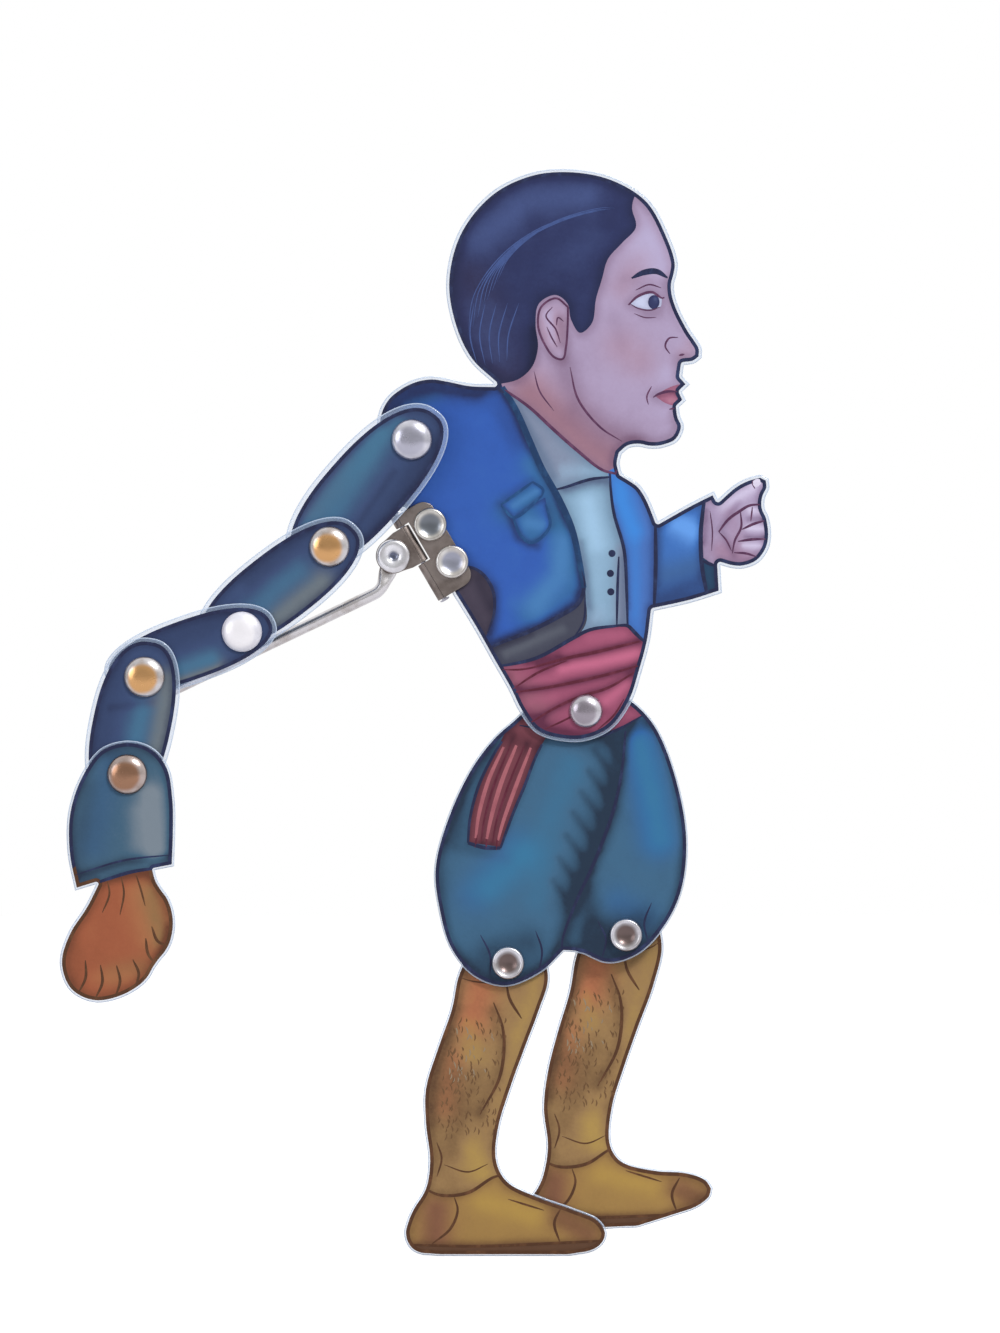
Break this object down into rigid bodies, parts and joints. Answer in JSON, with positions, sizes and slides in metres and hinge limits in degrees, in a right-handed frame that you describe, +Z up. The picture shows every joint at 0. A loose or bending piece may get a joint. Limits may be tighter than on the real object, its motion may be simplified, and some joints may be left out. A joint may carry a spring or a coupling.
{
  "type": "shadow puppet",
  "caption": "Flat riveted shadow puppet of clear plastic sheet: standing figure in profile with a jointed arm, hinged control rod and swinging legs.",
  "frame": {"origin": "under the middle of the whole figure's box, at the lowest point of the near sole", "axes": "+Z up the standing figure, +X the way that the figure faces, -Y the side of the printed front"},
  "size_m": [0.1773, 0.0208, 0.272],
  "materials": {
    "clear_sheet": "polished",
    "nickel": "polished",
    "hinge_metal": "satin",
    "rod_metal": "satin",
    "spacer_plastic": "matte",
    "skin_paint": "gloss",
    "hair_paint": "gloss",
    "jacket_paint": "gloss",
    "shirt_paint": "gloss",
    "sash_paint": "gloss",
    "breeches_paint": "gloss",
    "stocking_paint": "gloss",
    "shoe_paint": "gloss",
    "line_paint": "gloss"
  },
  "bodies": {
    "torso": {"torso_sheet": "clear_sheet", "shoulder_spacer": "spacer_plastic", "shoulder_rivet_cap": "nickel", "shoulder_rivet_post": "nickel", "waist_rivet_cap": "nickel", "waist_rivet_post": "nickel", "hinge_fixed_leaf": "hinge_metal", "hinge_pin": "nickel", "hinge_upper_rivet_cap": "nickel", "hinge_upper_rivet_post": "nickel", "hinge_lower_rivet_cap": "nickel", "hinge_lower_rivet_post": "nickel"},
    "upper_arm": {"upper_arm_sheet": "clear_sheet", "elbow_rivet_cap": "nickel", "elbow_rivet_post": "nickel"},
    "elbow": {"elbow_sheet": "clear_sheet", "forearm_rivet_cap": "nickel", "forearm_rivet_post": "nickel"},
    "forearm": {"forearm_sheet": "clear_sheet", "lower_arm_rivet_cap": "nickel", "lower_arm_rivet_post": "nickel"},
    "lower_arm": {"lower_arm_sheet": "clear_sheet", "hand_rivet_cap": "nickel", "hand_rivet_post": "nickel"},
    "hand": {"hand_sheet": "clear_sheet"},
    "breeches": {"breeches_sheet": "clear_sheet", "far_knee_spacer": "spacer_plastic", "near_knee_rivet_cap": "nickel", "near_knee_rivet_post": "nickel", "far_knee_rivet_cap": "nickel", "far_knee_rivet_post": "nickel"},
    "near_leg": {"near_leg_sheet": "clear_sheet"},
    "far_leg": {"far_leg_sheet": "clear_sheet"},
    "rod_leaf": {"hinge_moving_leaf": "hinge_metal"},
    "rod": {"control_rod": "rod_metal", "rod_rivet_cap": "nickel", "rod_rivet_post": "nickel"}
  },
  "joints": [
    {"name": "shoulder_swing", "type": "hinge", "parent": "torso", "child": "upper_arm", "pos_m": [-0.00098, 0.00315, 0.20425], "axis": [0, 1, 0], "range_deg": [-170, 170]},
    {"name": "elbow_fold", "type": "hinge", "parent": "upper_arm", "child": "elbow", "pos_m": [-0.02149, 0.00315, 0.17751], "axis": [0, 1, 0], "range_deg": [-110, 95]},
    {"name": "forearm_fold", "type": "hinge", "parent": "elbow", "child": "forearm", "pos_m": [-0.04325, 0.00315, 0.15628], "axis": [0, 1, 0], "range_deg": [-115, 80]},
    {"name": "lower_arm_fold", "type": "hinge", "parent": "forearm", "child": "lower_arm", "pos_m": [-0.06747, 0.00315, 0.14504], "axis": [0, 1, 0], "range_deg": [-40, 150]},
    {"name": "hand_fold", "type": "hinge", "parent": "lower_arm", "child": "hand", "pos_m": [-0.0717, 0.00315, 0.12081], "axis": [0, 1, 0], "range_deg": [-85, 100]},
    {"name": "waist_swing", "type": "hinge", "parent": "torso", "child": "breeches", "pos_m": [0.04252, 0.00315, 0.1365], "axis": [0, 1, 0], "range_deg": [-75, 75]},
    {"name": "near_knee_kick", "type": "hinge", "parent": "breeches", "child": "near_leg", "pos_m": [0.02302, 0.00315, 0.0735], "axis": [0, -1, 0], "range_deg": [-80, 80]},
    {"name": "far_knee_kick", "type": "hinge", "parent": "breeches", "child": "far_leg", "pos_m": [0.05252, 0.00315, 0.0805], "axis": [0, -1, 0], "range_deg": [-80, 80]},
    {"name": "rod_hinge_swing", "type": "hinge", "parent": "torso", "child": "rod_leaf", "pos_m": [-0.00498, 0.00325, 0.18525], "axis": [0.506, 0, -0.8625], "range_deg": [0, 90]},
    {"name": "rod_swivel", "type": "hinge", "parent": "rod_leaf", "child": "rod", "pos_m": [-0.00561, 0.00315, 0.17526], "axis": [0, 1, 0], "range_deg": [-45, 45]}
  ]
}
